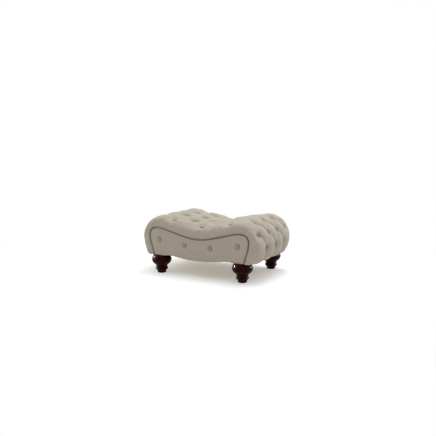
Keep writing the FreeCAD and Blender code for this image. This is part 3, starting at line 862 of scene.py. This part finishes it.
class Wire:
    """A value on its way through a tree of nodes: arithmetic on it adds Math nodes."""

    def __init__(self, tree, socket):
        self.tree, self.socket = tree, socket

    def maths(self, operation, *values):
        """A Math node with that operation on those values."""
        return self.tree.node("Math", {"operation": operation}, dict(enumerate(values)))

    def __add__(self, other):
        return self.maths("ADD", self, other)

    def __sub__(self, other):
        return self.maths("SUBTRACT", self, other)

    def __rsub__(self, other):
        return self.maths("SUBTRACT", other, self)

    def __mul__(self, other):
        return self.maths("MULTIPLY", self, other)

    __radd__, __rmul__ = __add__, __mul__

    def sine(self):
        """Its sine."""
        return self.maths("SINE", self)

    def larger(self, other):
        """The larger of two values."""
        return self.maths("MAXIMUM", self, other)

    def clamped(self):
        """The value kept between 0 and 1."""
        return self.maths("MINIMUM", self.larger(0.0), 1.0)


class Tree:
    """A tree of nodes, and the one way to add a node to it."""

    def __init__(self, tree):
        self.tree = tree

    def join(self, socket, value):
        """Links a wire to a socket, or sets the socket's own value."""
        if isinstance(value, Wire):
            self.tree.links.new(value.socket, socket)
        elif isinstance(value, tuple) and len(value) == 3 and socket.type == "RGBA":
            socket.default_value = (*value, 1.0)
        else:
            socket.default_value = value

    def node(self, kind, settings=None, sockets=None, output=0):
        """Adds a node: its settings first, then the values and links of its sockets."""
        node = self.tree.nodes.new("ShaderNode" + kind)
        for key, value in (settings or {}).items():
            setattr(node, key, value)
        for key, value in (sockets or {}).items():
            self.join(node.inputs[key], value)
        return Wire(self, node.outputs[output])

    def place(self):
        """Where a point is on the object."""
        return self.node("TexCoord", output="Object")

    def parts(self, vector):
        """The X and the Y of a vector."""
        outputs = self.node("SeparateXYZ", {}, {0: vector}).socket.node.outputs
        return Wire(self, outputs[0]), Wire(self, outputs[1])

    def length(self, vector):
        """The length of a vector."""
        return self.node("VectorMath", {"operation": "LENGTH"}, {0: vector}, "Value")

    def stretched(self, where, scale):
        """A place, scaled along each axis."""
        return self.node("Mapping", {}, {"Vector": where, "Scale": scale})

    def blend(self, amount, low, high):
        """From the colour low to the colour high by an amount from 0 to 1."""
        return self.node("Mix", {"data_type": "RGBA"}, {0: amount, 6: low, 7: high}, 2)

    def smooth(self, value, low, high):
        """Rises smoothly from 0 to 1 between low and high."""
        sockets = {"Value": value, "From Min": low, "From Max": high}
        return self.node("MapRange", {"interpolation_type": "SMOOTHSTEP"}, sockets)

    def noise(self, where, scale, detail=2.0, roughness=0.5):
        """Soft noise from 0 to 1."""
        sockets = {"Vector": where, "Scale": scale, "Detail": detail, "Roughness": roughness}
        return self.node("TexNoise", {}, sockets)

    def seen(self):
        """1 for what the camera sees, straight, in a reflection or through glass, and else 0."""
        rays = [
            self.node("LightPath", output="Is " + kind + " Ray")
            for kind in ("Camera", "Glossy", "Transmission")
        ]
        return rays[0].larger(rays[1]).larger(rays[2])


class Finish(Tree):
    """A material being made, with constants on its shader's sockets."""

    def __init__(self, name, **constants):
        self.material = bpy.data.materials.new(name)
        self.material.use_nodes = True
        super().__init__(self.material.node_tree)
        self.shader = self.tree.nodes["Principled BSDF"]
        self.set(**constants)

    def set(self, **sockets):
        """Sets or links the shader's sockets, named with underlines for spaces."""
        for name, value in sockets.items():
            self.join(self.shader.inputs[name.replace("_", " ")], value)

    def bump(self, height, distance):
        """Raises the surface by that height times the distance."""
        self.set(Normal=self.node("Bump", {}, {"Height": height, "Distance": distance}))


def cloth_finish(name, colour, shaded):
    """A plain woven cloth: crossing threads with slubs, soft mottling, and painted shade in its
    pits and folds, from the fold attribute.
    """
    finish = Finish(name, Sheen_Weight=0.22, Sheen_Roughness=0.45, Specular_IOR_Level=0.2)
    thread, along, across, painted_shade_strength = 0.0011, 60.0, 900.0, 0.78
    plan = finish.node("UVMap", {"uv_map": "cloth"})
    u, v = finish.parts(plan)
    pitch = math.pi / thread
    weave = (u * pitch).sine() * (v * pitch).sine()
    slub_u = finish.noise(finish.stretched(plan, (across, along, 1.0)), 1.0)
    slub_v = finish.noise(finish.stretched(plan, (along, across, 1.0)), 1.0)
    slubs = slub_u + slub_v
    mottle = finish.noise(plan, 150.0, 3.0, 0.6)
    cloud = finish.noise(plan, 14.0)
    # The fold attribute carries painted shade, which darkens the cloth towards its shaded colour
    fold = finish.node("Attribute", {"attribute_name": "fold"}, {}, "Fac")
    light = slubs * 0.30 + mottle * 0.55 + cloud * 0.25 - 0.20
    light = (light - fold * painted_shade_strength).clamped()
    finish.set(Base_Color=finish.blend(light, shaded, colour), Roughness=0.98 - mottle * 0.12)
    finish.bump(weave * 0.5 + slubs * 0.6 + mottle * 0.8, 0.00035)
    return finish.material


def wood_finish(name, light, dark, gloss, grain=(1.0, 1.0, 0.10), **constants):
    """Wood: rings bent by noise along the grain, fine pores, and the sheen of its polish."""
    finish = Finish(name, **constants)
    rings, pore_scale = 38.0, 90.0
    where = finish.place()
    bend = finish.noise(finish.stretched(where, grain), 9.0, 3.0)
    pores = finish.noise(finish.stretched(where, tuple(pore_scale * g * g for g in grain)), 8.0)
    bands = ((bend * rings).sine() * 0.5 + 0.5) * 0.7 + pores * 0.3
    colour = finish.blend(bands.clamped(), dark, light)
    finish.set(Base_Color=colour, Roughness=gloss + pores * 0.06)
    finish.bump(bands * 0.5 + pores, 0.00012)
    return finish.material


def metal_finish(name, bright, worn, rough):
    """Aged metal: patchy colour and roughness, with small pits."""
    finish = Finish(name, Metallic=1.0)
    where = finish.place()
    patch = finish.noise(where, 160.0, 3.0, 0.6)
    finish.set(Base_Color=finish.blend(patch, worn, bright), Roughness=rough + patch * 0.25)
    finish.bump(finish.noise(where, 900.0), 0.0001)
    return finish.material


def web_finish(name, colour, dark, thread):
    """Coarse cloth that lies flat: threads crossing along X and Y, a little uneven."""
    finish = Finish(name, Roughness=0.9)
    where = finish.place()
    x, y = finish.parts(where)
    pitch = math.pi / thread
    weave = (x * pitch).sine() * (y * pitch).sine() * 0.5 + 0.5
    uneven = finish.noise(where, 300.0)
    finish.set(Base_Color=finish.blend((weave * 0.6 + uneven * 0.5).clamped(), dark, colour))
    finish.bump(weave + uneven * 0.5, 0.0006)
    return finish.material


def foam_finish(name, colour, dark):
    """Open foam: small cells of uneven size."""
    finish = Finish(name, Roughness=0.95)
    cells = finish.node("TexVoronoi", {}, {"Vector": finish.place(), "Scale": 700.0})
    finish.set(Base_Color=finish.blend((cells * 1.2).clamped(), dark, colour))
    finish.bump(cells, 0.0004)
    return finish.material


lengthwise = (0.12, 1.0, 1.0)
polish = {
    "Coat_Weight": 0.09,
    "Coat_Roughness": 0.05,
    "Coat_IOR": 1.38,
    "Specular_IOR_Level": 0.04,
    "Specular_Tint": (0.8, 0.25, 0.2),
}
finishes = {
    "upholstery": cloth_finish("beige weave", (0.546, 0.505, 0.416), (0.276, 0.235, 0.176)),
    # The buttons' weave is the upholstery's, painted darker as shade for the pits they sit in
    "button_cloth": cloth_finish(
        "beige weave on buttons", (0.460, 0.405, 0.325), (0.200, 0.165, 0.128)
    ),
    "nail_heads": metal_finish(
        "antique nails", (0.105, 0.075, 0.055), (0.040, 0.028, 0.022), 0.34
    ),
    "feet": wood_finish(
        "dark polished feet", (0.022, 0.0022, 0.0018), (0.009, 0.0010, 0.0008), 0.30, **polish
    ),
    "glide_felt": foam_finish("glide felt", (0.05, 0.045, 0.04), (0.02, 0.018, 0.016)),
    "plywood": wood_finish("plywood", (0.62, 0.47, 0.30), (0.48, 0.34, 0.20), 0.6, lengthwise),
    "frame_wood": wood_finish("beech", (0.60, 0.44, 0.28), (0.46, 0.31, 0.18), 0.6, lengthwise),
    "foam": foam_finish("seat foam", (0.86, 0.80, 0.62), (0.66, 0.60, 0.44)),
    "webbing": web_finish("jute webbing", (0.42, 0.36, 0.26), (0.24, 0.19, 0.12), 0.0026),
    "hessian": web_finish("hessian", (0.52, 0.42, 0.27), (0.30, 0.22, 0.12), 0.0022),
    "dust_cloth": web_finish(
        "black dust cloth", (0.045, 0.044, 0.045), (0.018, 0.018, 0.019), 0.0012
    ),
    "steel": metal_finish("zinc-plated steel", (0.55, 0.54, 0.52), (0.36, 0.35, 0.33), 0.28),
}

slots = {row["node"]: row["material_slot"] for row in frame["record"]["subparts"]}
for name, node in nodes.items():
    node.data.materials.clear()
    node.data.materials.append(finishes[slots[name]])
for piece in bpy.context.scene.objects:
    if piece.type == "MESH" and piece.name not in nodes:
        piece.data.materials.append(finishes[piece["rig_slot"]])
        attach(piece, "root")


# Floor, light and camera


def make_floor():
    """A pale floor that keeps the stool's shadow and fades to white far away from it.

    Where the camera sees it, it also glows a little, painted light that lifts the lit floor to
    white.
    The glow is less towards the right, which paints the shadow wider there, and within an ellipse
    round the stool both its colour and its glow are warm, a painted warm tint in its shadow. All
    other rays meet a plain pale floor.
    """
    size = 8.0
    corners = np.array([[-1, -1, 0], [1, -1, 0], [1, 1, 0], [-1, 1, 0]]) * size
    floor = mesh_object("floor", corners, np.array([[0, 1, 2, 3]]))
    finish = Finish("white floor", Roughness=0.9, Specular_IOR_Level=0.0)
    white = (1.0, 1.0, 1.0)
    warm_radius, plain_radius, fade_start, fade_end = 0.20, 0.46, 0.9, 1.9
    seen, where = finish.seen(), finish.place()
    ellipse = finish.length(finish.stretched(where, (1.0, 1.5, 1.0)))
    away = finish.smooth(ellipse, warm_radius, plain_radius)
    # Painted warm tint in the stool's shadow: the floor's seen colour and glow are warmer inside
    # the ellipse
    seen_colour_painted_warm = finish.blend(away, (0.82, 0.75, 0.58), (0.80, 0.80, 0.80))
    painted_glow = finish.blend(away, (0.90, 0.85, 0.72), white)
    x, _ = finish.parts(where)
    # Painted shadow: the glow falls off towards the right, so the shadow shows further there
    painted_glow_by_x = {"From Min": -0.5, "From Max": 0.5, "To Min": 0.42, "To Max": 0.31}
    level = finish.node("MapRange", {}, {"Value": x, **painted_glow_by_x})
    finish.set(
        Base_Color=finish.blend(seen, (0.82, 0.80, 0.77), seen_colour_painted_warm),
        Emission_Color=painted_glow,
        Emission_Strength=seen * level,
    )
    fade = finish.smooth(finish.length(where), fade_start, fade_end)
    plain = finish.node("Emission", {}, {"Color": white, "Strength": 1.0})
    lit = Wire(finish, finish.shader.outputs[0])
    surface = finish.node("MixShader", {}, {0: fade * seen, 1: lit, 2: plain})
    finish.join(finish.tree.nodes["Material Output"].inputs["Surface"], surface)
    floor.data.materials.append(finish.material)


def make_world():
    """White where the camera sees it, also in reflections, and a softer white as light."""
    world = bpy.data.worlds.new("studio")
    bpy.context.scene.world = world
    world.use_nodes = True
    tree = Tree(world.node_tree)
    back = tree.tree.nodes["Background"]
    tree.join(back.inputs["Color"], (1.0, 1.0, 1.0))
    strengths = {"To Min": 0.745, "To Max": 1.0}
    level = tree.node("MapRange", {}, {"Value": tree.seen(), **strengths})
    tree.join(back.inputs["Strength"], level)


def place_facing(name, data, place, heading):
    """Puts a lamp or a camera in its place, facing that way."""
    item = bpy.data.objects.new(name, data)
    item.location = place
    item.rotation_euler = Vector(heading).to_track_quat("-Z", "Y").to_euler()
    bpy.context.scene.collection.objects.link(item)
    return item


def make_lamp(name, place, target, size, power, colour=(1.0, 1.0, 1.0), only_gloss=False):
    """A square soft light that faces its target, and may show only in polished surfaces."""
    data = bpy.data.lights.new(name, "AREA")
    data.shape = "SQUARE"
    data.size = size
    data.energy = power
    data.color = colour
    lamp = place_facing(name, data, place, Vector(target) - Vector(place))
    lamp.visible_diffuse = not only_gloss


make_floor()
make_world()
make_lamp("overhead softbox", (0.25, 0.5, 2.3), (0.0, 0.0, 0.2), 1.55, 29.5, (0.98, 0.99, 1.02))
make_lamp("left glint", (-2.35, -0.55, 0.80), (0.0, -0.1, 0.1), 0.14, 110.0, only_gloss=True)
make_lamp("right glint", (1.75, 1.65, 0.80), (0.1, 0.0, 0.1), 0.14, 110.0, only_gloss=True)

camera_data = bpy.data.cameras.new("camera")
camera_data.lens = 50.04
camera_data.sensor_width = 36.0
camera_place, camera_heading = (1.857, -3.4444, 0.8975), (-0.4688, 0.8723, -0.1391)
bpy.context.scene.camera = place_facing("camera", camera_data, camera_place, camera_heading)
bpy.context.scene.view_settings.view_transform = "Standard"
